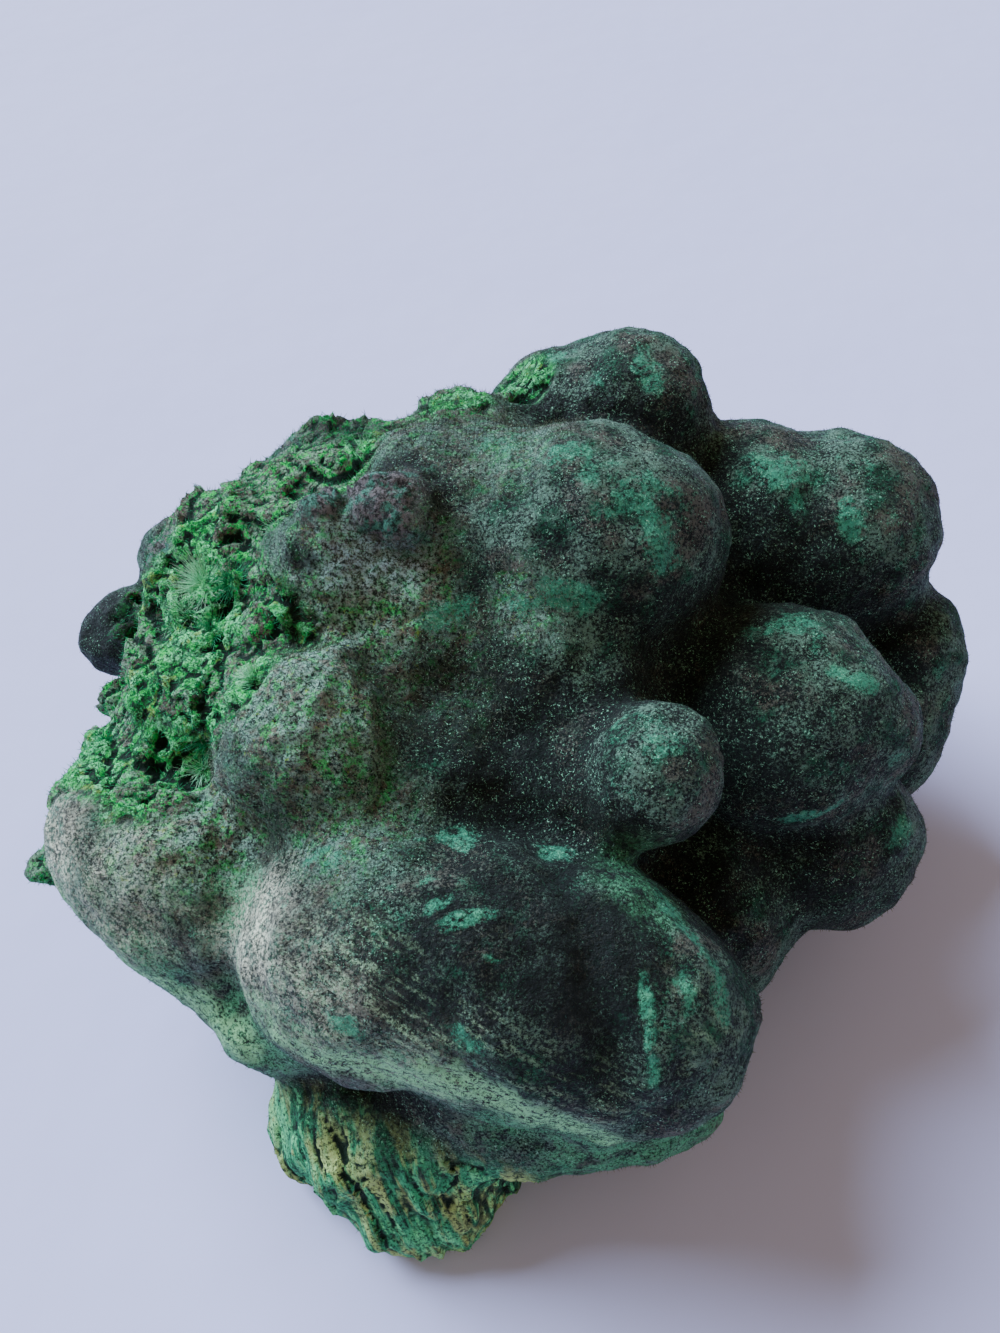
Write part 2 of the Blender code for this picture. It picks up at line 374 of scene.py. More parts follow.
def in_balls(spots, balls, ragged, seed, soft=0.75):
    """Each ball's strength well inside it and 0 outside, with a ragged edge that starts at soft."""
    wander = layered(spots, 5.0, seed) * ragged
    best = np.zeros(len(spots))
    for centre, radius, strength in balls:
        reach = np.linalg.norm(spots - centre, axis=1) / radius + wander
        best = np.maximum(best, strength * (1 - ramp(reach, soft, 1.1)))
    return best


def read_spots(mesh):
    """Where a mesh's vertices are, in mm."""
    spots = np.empty(len(mesh.vertices) * 3)
    mesh.vertices.foreach_get("co", spots)
    return spots.reshape(-1, 3) / MM


def read_normals(mesh):
    """Which way a mesh's vertices face."""
    normals = np.empty(len(mesh.vertices) * 3, np.float32)
    mesh.vertex_normals.foreach_get("vector", normals)
    return normals.reshape(-1, 3).astype(float)


def write_spots(mesh, spots):
    """Moves a mesh's vertices to the given places, in mm."""
    mesh.vertices.foreach_set("co", (spots * MM).ravel())
    mesh.update()


def settle(piece):
    """Applies a piece's modifiers."""
    graph = bpy.context.evaluated_depsgraph_get()
    data = bpy.data.meshes.new_from_object(piece.evaluated_get(graph))
    piece.modifiers.clear()
    piece.data = data


def fine_skin():
    """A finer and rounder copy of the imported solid."""
    skin = bpy.data.objects.new("stone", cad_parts[NODE].data.copy())
    bpy.context.scene.collection.objects.link(skin)
    skin.data.materials.clear()
    remesh = skin.modifiers.new("fine", "REMESH")
    remesh.mode = "VOXEL"
    remesh.voxel_size = GRAIN * MM
    rounding = skin.modifiers.new("rounding", "SMOOTH")
    rounding.factor = 0.5
    rounding.iterations = 14
    settle(skin)
    return skin


def smoothed_spots(skin, passes):
    """Where the skin's vertices would be if it were smoothed further."""
    rounding = skin.modifiers.new("rounding", "SMOOTH")
    rounding.factor = 0.5
    rounding.iterations = passes
    graph = bpy.context.evaluated_depsgraph_get()
    spots = read_spots(skin.evaluated_get(graph).data)
    skin.modifiers.clear()
    return spots


def unwrap(skin):
    """Lays the skin out flat while it is still smooth."""
    bpy.context.view_layer.objects.active = skin
    skin.select_set(True)
    skin.data.uv_layers.new(name="OFBake")
    bpy.ops.object.mode_set(mode="EDIT")
    bpy.ops.mesh.select_all(action="SELECT")
    bpy.ops.uv.smart_project(angle_limit=math.radians(66), island_margin=0.002)
    bpy.ops.object.mode_set(mode="OBJECT")
    skin.select_set(False)


def mark(mesh, name, values):
    """Stores one number per vertex for the material."""
    layer = mesh.attributes.new(name, "FLOAT", "POINT")
    layer.data.foreach_set("value", np.clip(values, 0, 1).astype(np.float32))


def line_gap(spots, points):
    """How far each spot is from the line through the given points."""
    nearest = np.full(len(spots), np.inf)
    for start, end in zip(points, points[1:]):
        run = np.subtract(end, start).astype(float)
        part = np.clip((spots - start) @ run / (run @ run), 0, 1)
        gap = np.linalg.norm(spots - start - part[:, None] * run, axis=1)
        nearest = np.minimum(nearest, gap)
    return nearest


def rubbed_value(spots):
    """How far each spot is rubbed to teal."""
    ragged = layered(spots, 1.8, 40) * 0.8
    best = np.zeros(len(spots))
    for centre, direction, length, width, strength in RUBBED:
        away = spots - centre
        axis = np.array(direction) / np.linalg.norm(direction)
        along = away @ axis
        across = np.linalg.norm(away - along[:, None] * axis, axis=1)
        reach = np.sqrt((along / length) ** 2 + (across / width) ** 2)
        best = np.maximum(best, strength * (1 - ramp(reach + ragged, 0.3, 1.4)))
    return best


def edge_value(spots):
    """How near each spot is to a pale edge."""
    ragged = layered(spots, 1.4, 45) * 0.6
    best = np.zeros(len(spots))
    for points, width in EDGES:
        best = np.maximum(best, 1 - ramp(line_gap(spots, points) / width + ragged, 0.4, 1.3))
    return best


def fold_depth(spots):
    """How deep the shallow folds are at each spot."""
    depth = np.zeros(len(spots))
    for points, width, deepest in FOLDS:
        depth = np.maximum(depth, deepest * (1 - ramp(line_gap(spots, points) / width, 0, 1.3)))
    return depth


def nodule_height(spots, normals):
    """How far each spot has to rise to reach the round nodules, and well below zero elsewhere."""
    height = np.full(len(spots), -9.0)
    for centre, radius in NODULES:
        away = spots - centre
        along = np.sum(away * normals, axis=1)
        inside = along**2 - np.sum(away * away, axis=1) + radius**2
        rise = np.sqrt(np.maximum(inside, 0)) - along
        near = (inside > 0) & (rise < 3)
        height = np.where(near, np.maximum(height, rise), height)
    return height


def occlusion_shade_value(spots):
    """How much of the open air around each spot the rest of the stone hides; the velvet uses it to paint
    shade in the valleys and under the lobes.
    """
    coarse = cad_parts[NODE].data
    tree = BVHTree.FromPolygons([v.co for v in coarse.vertices], [tuple(p.vertices) for p in coarse.polygons])
    turns = np.arange(SKY_RAYS) + 0.5
    height = 1 - 2 * turns / SKY_RAYS
    angle = turns * math.pi * (1 + math.sqrt(5))
    flat = np.sqrt(1 - height * height)
    rays = [Vector(ray) for ray in np.stack([flat * np.cos(angle), flat * np.sin(angle), height], axis=1)]
    finder = KDTree(len(coarse.vertices))
    hidden = np.zeros(len(coarse.vertices))
    for vertex in coarse.vertices:
        start = vertex.co + vertex.normal * 0.3 * MM
        total = 0.0
        for ray in rays:
            facing = ray.dot(vertex.normal)
            if facing > 0.05:
                total += facing
                if tree.ray_cast(start, ray, SKY_REACH * MM)[0]:
                    hidden[vertex.index] += facing
        hidden[vertex.index] /= total
        finder.insert(vertex.co, vertex.index)
    finder.balance()
    values = np.empty(len(spots))
    for index, spot in enumerate((spots * MM).tolist()):
        near = finder.find_n(spot, 5)
        shares = [1 / (gap / MM + 0.4) for _, _, gap in near]
        values[index] = sum(share * hidden[n[1]] for share, n in zip(shares, near)) / sum(shares)
    return values


def velvet_relief(spots, moss, striped):
    """Low mounds and grains, rougher on the moss and furrowed on the stripes."""
    height = layered(spots, 7.0, 2) * 0.6 + layered(spots, 3.0, 5) * 0.34
    height += (pebbles(spots, 1.5, 8) - 0.5) * 0.12 + noise(spots, 0.9, 11) * 0.09
    height += moss * ((pebbles(spots, 1.9, 90) - 0.5) * 0.55 + noise(spots, 1.0, 91) * 0.3)
    return height + striped * (noise(combed(spots, STRIPES, 0.2), 1.3, 92) * 0.16)


def crust_relief(spots):
    """Tilted plates and chips with hollows among them, and a number for each plate."""
    bent = warped(spots, 1.8, 0.7, 53)
    height, plate = facets(bent, 5.0, 110)
    height = height + facets(bent, 2.1, 130)[0] * 0.34 + facets(bent, 1.1, 190)[0] * 0.16
    height += noise(spots, 0.9, 63) * 0.16
    height -= ramp(layered(spots, 3.0, 60), 0.2, 0.6) * 1.5
    return height, plate


def foot_relief(spots):
    """Ribs and slabs that run along the grain of the foot."""
    lined = combed(warped(spots, 3, 0.3, 70), FOOT_GRAIN, 0.12)
    ribs = np.abs(noise(lined, 1.6, 73)) + 0.6 * np.abs(noise(lined, 0.9, 74))
    return (ribs - 0.5) * 0.5 + facets(lined, 3.2, 170)[0] * 0.5 + noise(spots, 0.9, 76) * 0.1


def rock_relief(spots):
    """Broad facets of bare rock."""
    return facets(spots, 3.4, 150)[0] * 0.8 + noise(spots, 1.0, 64) * 0.1


def carve(skin):
    """Carves each kind of surface into the skin and marks it for the material."""
    mesh = skin.data
    spots = read_spots(mesh)
    normals = read_normals(mesh)
    crust = in_balls(spots, CRUST, 0.35, 20)
    foot = in_balls(spots, FOOT, 0.15, 30) * (1 - ramp(spots[:, 2], 14, 20))
    foot = np.maximum(foot, 1 - ramp(spots[:, 2] + layered(spots, 6.0, 33) * 4, 5, 11))
    crust *= 1 - foot

    moss = in_balls(spots, MOSS, 0.3, 82, 0.4)
    bare = in_balls(spots, BARE, 0.2, 86, 0.6)
    striped = in_balls(spots, STRIPED, 0.2, 88, 0.4)
    crags, plate = crust_relief(spots)

    height = velvet_relief(spots, moss, striped) * (1 - crust) * (1 - foot)
    height += crags * crust + foot_relief(spots) * foot
    height *= 1 - bare
    height -= fold_depth(spots)
    height = np.maximum(height, nodule_height(spots, normals)) + rock_relief(spots) * bare
    height *= ramp(spots[:, 2], 0.2, 2.5)
    carved = spots + normals * height[:, None]
    carved[:, 2] = np.maximum(carved[:, 2], 0)
    write_spots(mesh, carved)

    near = smoothed_spots(skin, 12)
    far = smoothed_spots(skin, 120)
    fine_rise = np.sum((carved - near) * normals, axis=1)
    broad_rise = np.sum((carved - far) * normals, axis=1)
    mark(mesh, "crust", crust)
    mark(mesh, "foot", foot)
    mark(mesh, "rubbed", rubbed_value(carved))
    mark(mesh, "painted_sheen", in_balls(carved, PAINTED_SHEEN, 0.2, 80, 0.1))
    mark(mesh, "painted_slope_light", in_balls(carved, PAINTED_SLOPE_LIGHT, 0.3, 81, 0.3))
    mark(mesh, "moss", moss)
    mark(mesh, "dark", in_balls(carved, DARK_AND_SHADE, 0.3, 84, 0.4))
    mark(mesh, "edge", edge_value(carved))
    # Painted shade: the material darkens the hollows with fine_rise and broad_rise, which give how far each
    # spot stands above its smoothed self.
    mark(mesh, "fine_rise", 0.5 + fine_rise / 0.5)
    mark(mesh, "broad_rise", 0.5 + broad_rise / 3.0)
    mark(mesh, "plate", plate)
    mark(mesh, "bare", bare)
    mark(mesh, "vivid", in_balls(carved, VIVID, 0.4, 96, 0.4))
    mark(mesh, "lush", in_balls(carved, LUSH, 0.3, 94, 0.4))
    mark(mesh, "striped", striped)
    mark(mesh, "calm", in_balls(carved, CALM, 0.2, 98, 0.4))
    mark(mesh, "occlusion_shade", occlusion_shade_value(spots))
    mesh.polygons.foreach_set("use_smooth", np.ones(len(mesh.polygons), bool))
    mesh.update()


class Graph:
    """Builds a material's nodes with short calls."""

    def __init__(self, name):
        """Starts a material whose noise is measured in mm of the piece itself."""
        self.material = bpy.data.materials.new(name)
        self.material.use_nodes = True
        self.tree = self.material.node_tree
        self.shader = self.tree.nodes["Principled BSDF"]
        coordinates = self.tree.nodes.new("ShaderNodeTexCoord")
        scale = self.tree.nodes.new("ShaderNodeMapping")
        scale.inputs["Scale"].default_value = (1 / MM, 1 / MM, 1 / MM)
        self.tree.links.new(coordinates.outputs["Object"], scale.inputs["Vector"])
        self.spot = scale.outputs["Vector"]

    def put(self, socket, value):
        """Links a node's output to a socket, or sets the socket to a number or a colour."""
        if isinstance(value, bpy.types.NodeSocket):
            self.tree.links.new(value, socket)
        elif isinstance(value, tuple) and len(value) == 3 and socket.type == "RGBA":
            socket.default_value = (*value, 1)
        else:
            socket.default_value = value

    def value(self, name):
        """A number that is marked on the mesh."""
        node = self.tree.nodes.new("ShaderNodeAttribute")
        node.attribute_name = name
        return node.outputs["Fac"]

    def noise(self, size, detail=2.0, rough=0.5, warp=0.0, vector=None):
        """Noise from 0 to 1 whose blobs are about the given size in mm."""
        node = self.tree.nodes.new("ShaderNodeTexNoise")
        self.put(node.inputs["Vector"], vector or self.spot)
        node.inputs["Scale"].default_value = 1 / size
        node.inputs["Detail"].default_value = detail
        node.inputs["Roughness"].default_value = rough
        node.inputs["Distortion"].default_value = warp
        return node.outputs["Fac"]

    def math(self, kind, a, b=0.0):
        """One sum or product."""
        node = self.tree.nodes.new("ShaderNodeMath")
        node.operation = kind
        self.put(node.inputs[0], a)
        self.put(node.inputs[1], b)
        return node.outputs[0]

    def span(self, value, low, high, start=0.0, end=1.0):
        """Maps low..high to start..end, and holds beyond them."""
        node = self.tree.nodes.new("ShaderNodeMapRange")
        node.interpolation_type = "SMOOTHSTEP"
        self.put(node.inputs["Value"], value)
        node.inputs["From Min"].default_value = low
        node.inputs["From Max"].default_value = high
        node.inputs["To Min"].default_value = start
        node.inputs["To Max"].default_value = end
        return node.outputs["Result"]

    def mix(self, share, a, b):
        """Colour a where share is 0 and colour b where it is 1."""
        node = self.tree.nodes.new("ShaderNodeMix")
        node.data_type = "RGBA"
        self.put(node.inputs["Factor"], share)
        self.put(node.inputs["A"], a)
        self.put(node.inputs["B"], b)
        return node.outputs["Result"]

    def vectors(self, kind, a, b=None, scale=None):
        """One step of vector arithmetic."""
        node = self.tree.nodes.new("ShaderNodeVectorMath")
        node.operation = kind
        self.put(node.inputs[0], a)
        if b is not None:
            self.put(node.inputs[1], b)
        if scale is not None:
            self.put(node.inputs["Scale"], scale)
        return node.outputs["Value" if kind == "DOT_PRODUCT" else "Vector"]

    def combed(self, direction, keep):
        """The spot squeezed along a direction, so that noise on it makes stripes that way."""
        if isinstance(direction, tuple):
            direction = tuple(Vector(direction).normalized())
        along = self.math("MULTIPLY", self.vectors("DOT_PRODUCT", self.spot, direction), 1 - keep)
        return self.vectors("SUBTRACT", self.spot, self.vectors("SCALE", direction, scale=along))

    def scattered_directions(self, size):
        """A direction for each of many scattered cells of about the given size."""
        node = self.tree.nodes.new("ShaderNodeTexVoronoi")
        self.put(node.inputs["Vector"], self.spot)
        node.inputs["Scale"].default_value = 1 / size
        away = self.vectors("SUBTRACT", node.outputs["Color"], (0.5, 0.5, 0.5))
        return self.vectors("NORMALIZE", away)

    def bump(self, height, strength, distance, normal=None):
        """A normal that is bent as if the surface rose by up to the given distance in mm."""
        node = self.tree.nodes.new("ShaderNodeBump")
        node.inputs["Strength"].default_value = strength
        node.inputs["Distance"].default_value = distance * MM
        self.put(node.inputs["Height"], height)
        if normal:
            self.put(node.inputs["Normal"], normal)
        return node.outputs["Normal"]


BLACK_GREEN = (0.0022, 0.0048, 0.0042)
DEEP_GREEN = (0.011, 0.086, 0.042)
GREY_TEAL = (0.118, 0.218, 0.152)
MAUVE = (0.115, 0.094, 0.075)
PALE_SPECK = (0.300, 0.680, 0.430)
TEAL = (0.050, 0.320, 0.180)
PALE_TEAL = (0.110, 0.470, 0.260)
PATINA = (0.070, 0.280, 0.190)
PAINTED_SHEEN_GREY = (0.860, 0.900, 0.660)
PAINTED_SLOPE_LIGHT_GREY = (0.500, 0.740, 0.810)
EMERALD = (0.0005, 0.120, 0.030)
BRIGHT_GREEN = (0.0005, 0.400, 0.055)
LEAF_GREEN = (0.020, 0.680, 0.110)
MINT = (0.230, 0.960, 0.390)
LIME = (0.300, 0.520, 0.090)
# Near-black of the gaps among the crust's and the foot's fibres, also used as painted shade in their creases.
HOLLOW_BLACK_AND_SHADE = (0.0008, 0.016, 0.007)
BROWN = (0.250, 0.215, 0.160)
MOSS_GREY = (0.340, 0.560, 0.430)
BARK = (0.150, 0.125, 0.095)
LICHEN = (0.220, 0.400, 0.240)
ROCK_MAUVE = (0.190, 0.172, 0.170)
YELLOW_GREEN = (0.660, 0.820, 0.260)
SEA_GREEN = (0.050, 0.460, 0.190)
LUSH_GREEN = (0.110, 0.450, 0.200)
EDGE_GREEN_AND_BOUNCE_LIGHT = (0.360, 0.820, 0.380)
STRIPE_GREY = (0.310, 0.500, 0.290)
# Fibres: the colour at the root, in the middle and at the tip.
PALE_FIBRE = ((0.02, 0.20, 0.08), (0.22, 0.62, 0.34), (0.74, 0.94, 0.68))
DEEP_FIBRE = ((0.001, 0.05, 0.02), (0.002, 0.26, 0.09), (0.12, 0.70, 0.34))
FINE_FIBRE = ((0.002, 0.008, 0.006), (0.008, 0.030, 0.021), (0.34, 0.66, 0.42))
FELT_FIBRE = ((0.006, 0.012, 0.007), (0.045, 0.060, 0.040), (0.50, 0.62, 0.42))


def velvet_colour(g):
    """The dark velvet: black between the crystals, grey-teal, green and mauve on them, and mint specks, with
    painted shade in the valleys and under the lobes, painted sheen on the rims that face the window, painted
    light under the nodules and partly painted bounce light on the pale edges.
    """
    # Painted shade: the grains stay black where the stone hides the sky, in broad hollows and on the dark
    # balls, and turn grey-teal on open rises, where the teal patina also lies.
    unshaded_share = g.span(g.value("occlusion_shade"), 0.38, 0.03)
    unshaded_and_exposed = g.math("MULTIPLY", unshaded_share, g.span(g.value("broad_rise"), 0.25, 0.75, 0.55, 1.0))
    unshaded_and_exposed = g.math("MULTIPLY", unshaded_and_exposed, g.span(g.value("dark"), 0.0, 1.0, 1.0, 0.15))
    pile = g.noise(0.30, 3, 0.85)
    mottle = g.noise(2.6, 5, 0.65)
    lift = g.math("MULTIPLY", g.math("SUBTRACT", mottle, 0.5), 0.45)
    lift = g.math("ADD", lift, g.math("MULTIPLY", unshaded_and_exposed, 0.15))
    grains = g.span(g.math("ADD", pile, lift), 0.545, 0.71)
    tint = g.mix(g.span(g.noise(4.4, 4, 0.62), 0.46, 0.60), GREY_TEAL, DEEP_GREEN)
    tint = g.mix(g.span(g.noise(6.5, 4, 0.6), 0.48, 0.60, 0, 0.8), tint, MAUVE)
    velvet = g.mix(grains, BLACK_GREEN, tint)
    lush = g.math("MULTIPLY", g.value("lush"), g.span(g.noise(1.6, 4, 0.7), 0.36, 0.54))
    velvet = g.mix(g.math("MULTIPLY", lush, g.span(pile, 0.36, 0.60)), velvet, LUSH_GREEN)
    stripes = g.noise(1.0, 4, 0.7, 0.2, g.combed(STRIPES, 0.12))
    striped = g.value("striped")
    velvet = g.mix(g.math("MULTIPLY", striped, g.span(stripes, 0.50, 0.38, 0, 0.85)), velvet, BLACK_GREEN)
    green_stripes = g.math("MULTIPLY", striped, g.span(stripes, 0.50, 0.60, 0, 0.9))
    velvet = g.mix(g.math("MULTIPLY", green_stripes, g.span(pile, 0.42, 0.60)), velvet, STRIPE_GREY)
    patina = g.math("MULTIPLY", g.span(g.noise(2.0, 5, 0.75), 0.55, 0.63), unshaded_and_exposed)
    patina = g.math("MULTIPLY", patina, g.span(g.noise(11.0, 3, 0.5), 0.44, 0.58, 0.0, 0.8))
    velvet = g.mix(g.math("MULTIPLY", patina, g.span(pile, 0.40, 0.58)), velvet, TEAL)
    moss = g.math("MULTIPLY", g.value("moss"), g.span(g.noise(0.42, 4, 0.85), 0.42, 0.56))
    mossy = g.mix(g.span(g.noise(2.0, 4, 0.7), 0.40, 0.54), BROWN, MOSS_GREY)
    mossy = g.mix(g.span(g.noise(1.3, 4, 0.7), 0.52, 0.62, 0, 0.8), mossy, LEAF_GREEN)
    mossy = g.mix(g.span(g.noise(0.9, 4, 0.8), 0.53, 0.62, 0, 0.8), mossy, MINT)
    mossy = g.mix(g.span(g.noise(0.7, 3, 0.7), 0.61, 0.68), mossy, LIME)
    velvet = g.mix(g.math("MULTIPLY", g.value("moss"), 0.5), velvet, BLACK_GREEN)
    velvet = g.mix(moss, velvet, mossy)
    # Darker velvet and painted shade from the dark balls.
    velvet = g.mix(g.span(g.value("dark"), 0.4, 1.0, 0.0, 0.75), velvet, BLACK_GREEN)
    grain = g.span(g.noise(0.42, 4, 0.85), 0.45, 0.57, 0.04, 1.0)
    patches = g.span(g.noise(2.2, 5, 0.75), 0.40, 0.54, 0.5, 1.0)
    # Painted sheen on the rims that face the window, and painted light under the nodules.
    painted_sheen = g.math("MULTIPLY", g.math("MULTIPLY", g.value("painted_sheen"), patches), grain)
    velvet = g.mix(painted_sheen, velvet, PAINTED_SHEEN_GREY)
    # Painted light: a cool pale grey on the shaded slope under the nodules.
    velvet = g.mix(g.math("MULTIPLY", g.value("painted_slope_light"), grain), velvet, PAINTED_SLOPE_LIGHT_GREY)
    # Pale green edges: partly their own colour, partly painted bounce light.
    edge = g.math("MULTIPLY", g.value("edge"), g.span(g.noise(0.6, 5, 0.85), 0.42, 0.54, 0, 0.95))
    velvet = g.mix(edge, velvet, EDGE_GREEN_AND_BOUNCE_LIGHT)
    worn = g.mix(g.span(g.noise(1.1, 4, 0.7), 0.50, 0.66), TEAL, PALE_TEAL)
    firm = g.math("MULTIPLY", g.math("SUBTRACT", g.value("rubbed"), 0.5), 0.12)
    flakes = g.math("ADD", g.noise(0.8, 6, 0.9), firm)
    wear = g.math("MULTIPLY", g.span(g.value("rubbed"), 0.0, 0.6), g.span(flakes, 0.44, 0.57, 0, 0.95))
    wear = g.math("MULTIPLY", wear, g.span(pile, 0.34, 0.52, 0.45, 1.0))
    velvet = g.mix(wear, velvet, worn)
    specks = g.span(g.noise(0.20, 2, 0.6, 1.0), 0.605, 0.675)
    specks = g.math("MULTIPLY", specks, g.span(g.noise(1.6, 4, 0.75), 0.44, 0.60, 0.1, 1.0))
    specks = g.math("MULTIPLY", specks, g.span(g.value("calm"), 0.0, 1.0, 1.0, 0.15))
    return g.mix(specks, velvet, PALE_SPECK)


def crust_colour(g):
    """The broken crust: bright fibrous green among grey-green and brown plates with dark hollows, and painted
    shade in its creases.
    """
    fibres = g.noise(0.32, 4, 0.8, 0.0, g.combed(g.scattered_directions(2.0), 0.16))
    grain = g.noise(0.34, 4, 0.85)
    green = g.mix(g.span(g.noise(2.4, 4, 0.7), 0.44, 0.54), EMERALD, BRIGHT_GREEN)
    green = g.mix(g.span(g.noise(1.5, 4, 0.75), 0.46, 0.56), green, LEAF_GREEN)
    green = g.mix(g.span(g.noise(1.0, 4, 0.8, 0.5), 0.51, 0.58), green, MINT)
    bright = g.math("MULTIPLY", g.value("vivid"), g.span(g.noise(0.9, 4, 0.8), 0.47, 0.57, 0, 0.85))
    green = g.mix(bright, green, MINT)
    green = g.mix(g.span(g.noise(1.9, 4, 0.7), 0.58, 0.64, 0, 0.8), green, LIME)
    dull = g.mix(g.span(g.noise(2.4, 4, 0.7), 0.44, 0.56), BARK, LICHEN)
    dull = g.mix(g.span(g.noise(1.0, 4, 0.8), 0.50, 0.57), dull, LEAF_GREEN)
    duller = g.math("ADD", g.value("plate"), g.noise(1.2, 4, 0.75))
    duller = g.math("SUBTRACT", duller, g.math("MULTIPLY", g.value("vivid"), 0.6))
    green = g.mix(g.span(duller, 0.74, 0.84), green, dull)
    green = g.mix(g.span(grain, 0.50, 0.39, 0, 0.95), green, HOLLOW_BLACK_AND_SHADE)
    green = g.mix(g.span(fibres, 0.49, 0.39, 0, 0.95), green, HOLLOW_BLACK_AND_SHADE)
    green = g.mix(g.span(fibres, 0.60, 0.68, 0, 0.8), green, MINT)
    # Darker tone and painted shade from the dark balls.
    green = g.mix(g.span(g.value("dark"), 0.2, 1.0, 0.0, 0.8), green, HOLLOW_BLACK_AND_SHADE)
    # Painted shade: near-black in the fine creases of the crust.
    return g.mix(g.span(g.value("fine_rise"), 0.54, 0.32), green, HOLLOW_BLACK_AND_SHADE)


def bare_colour(g):
    """Bare rock between the crust and the velvet."""
    rock = g.mix(g.span(g.noise(1.8, 4, 0.65), 0.48, 0.58, 0, 0.9), ROCK_MAUVE, PATINA)
    return g.mix(g.span(g.noise(0.5, 4, 0.8), 0.56, 0.42, 0, 0.9), rock, BLACK_GREEN)


def foot_colour(g):
    """The broken foot: stripes of dark, sea-green, mint and yellow-green fibres, with painted shade in its
    creases and on its top under the front lobe.
    """
    streak = g.noise(0.95, 4, 0.7, 0.2, g.combed(FOOT_GRAIN, 0.09))
    fibres = g.mix(g.span(streak, 0.34, 0.48), HOLLOW_BLACK_AND_SHADE, SEA_GREEN)
    fibres = g.mix(g.span(streak, 0.51, 0.61, 0, 0.9), fibres, MINT)
    yellow = g.noise(2.6, 4, 0.6, 0.0, g.combed(FOOT_GRAIN, 0.14))
    fibres = g.mix(g.span(yellow, 0.47, 0.57, 0, 0.8), fibres, YELLOW_GREEN)
    # Painted shade: near-black in the fine creases of the foot.
    fibres = g.mix(g.span(g.value("fine_rise"), 0.52, 0.28), fibres, HOLLOW_BLACK_AND_SHADE)
    fibres = g.mix(g.math("MULTIPLY", g.value("lush"), g.span(streak, 0.40, 0.52, 0, 0.7)), fibres, MINT)
    # Painted shade on the top of the foot under the front lobe, from the dark balls.
    fibres = g.mix(g.math("MULTIPLY", g.value("dark"), g.span(streak, 0.60, 0.48)), fibres, BLACK_GREEN)
    return g.mix(g.span(g.noise(0.4, 4, 0.8), 0.52, 0.40, 0, 0.9), fibres, HOLLOW_BLACK_AND_SHADE)


def finish_shader(g):
    """Sets the gloss and the faint green sheen."""
    g.shader.inputs["Specular IOR Level"].default_value = 0.2
    g.shader.inputs["Sheen Weight"].default_value = SHEEN
    g.shader.inputs["Sheen Roughness"].default_value = 0.5
    g.shader.inputs["Sheen Tint"].default_value = (0.80, 1.0, 0.90, 1)


def stone_material():
    """The material of the skin, chosen spot by spot from what is marked there."""
    g = Graph("malachite")
    colour = g.mix(g.value("crust"), velvet_colour(g), crust_colour(g))
    colour = g.mix(g.value("bare"), colour, bare_colour(g))
    colour = g.mix(g.value("foot"), colour, foot_colour(g))
    g.put(g.shader.inputs["Base Color"], colour)
    g.put(g.shader.inputs["Roughness"], g.span(g.noise(0.5, 2, 0.6), 0.3, 0.7, 0.62, 0.95))
    finish_shader(g)
    coarse = g.bump(g.noise(1.1, 5, 0.75), 1.0, 0.6)
    g.put(g.shader.inputs["Normal"], g.bump(g.noise(0.36, 3, 0.75), 1.0, 0.35, coarse))
    return g.material


def fibre_material(name, colours, pale_share):
    """Fibres that are dark at the root; the given share of them turn light at the tip."""
    root, middle, tip = colours
    g = Graph(name)
    along, shade = g.value("along"), g.value("shade")
    colour = g.mix(g.span(along, 0.0, 0.5), root, middle)
    colour = g.mix(g.span(along, 0.4, 1.0), colour, tip)
    colour = g.mix(g.span(shade, pale_share, pale_share + 0.1), colour, middle)
    g.put(g.shader.inputs["Base Color"], colour)
    g.put(g.shader.inputs["Roughness"], g.span(g.noise(0.4, 2, 0.5), 0.3, 0.7, 0.45, 0.75))
    finish_shader(g)
    return g.material


def needles(name, roots, aims, lengths, widths, material):
    """Makes one piece of many three-sided needles and lets it ride with the stone."""
    count = len(roots)
    side = np.cross(aims, np.where(np.abs(aims[:, 2:3]) > 0.9, (1.0, 0, 0), (0, 0, 1.0)))
    side /= np.linalg.norm(side, axis=1)[:, None]
    other = np.cross(aims, side)
    spots = np.empty((count, 4, 3))
    for corner in range(3):
        turn = corner * 2 * math.pi / 3
        spots[:, corner] = roots + widths[:, None] * (math.cos(turn) * side + math.sin(turn) * other)
    spots[:, 3] = roots + aims * lengths[:, None]
    spots[:, :, 2] = np.maximum(spots[:, :, 2], 0)
    first = np.arange(count)[:, None] * 4
    faces = np.concatenate([first + f for f in ((0, 1, 3), (1, 2, 3), (2, 0, 3), (0, 2, 1))])
    data = bpy.data.meshes.new(name)
    data.from_pydata((spots.reshape(-1, 3) * MM).tolist(), [], faces.tolist())
    data.update()
    chance = np.random.default_rng(SEED + count)
    mark(data, "along", np.tile((0.0, 0.0, 0.0, 1.0), count))
    mark(data, "shade", np.repeat(chance.random(count), 4))
    data.materials.append(material)
    piece = bpy.data.objects.new(name, data)
    bpy.context.scene.collection.objects.link(piece)
    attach(piece, "root")
    return piece


def directions(normals, lean, chance):
    """Directions that lean away from the normals by up to the given amount."""
    wild = chance.normal(size=normals.shape)
    wild -= np.sum(wild * normals, axis=1)[:, None] * normals
    wild /= np.linalg.norm(wild, axis=1)[:, None]
    aims = normals + wild * lean
    return aims / np.linalg.norm(aims, axis=1)[:, None]


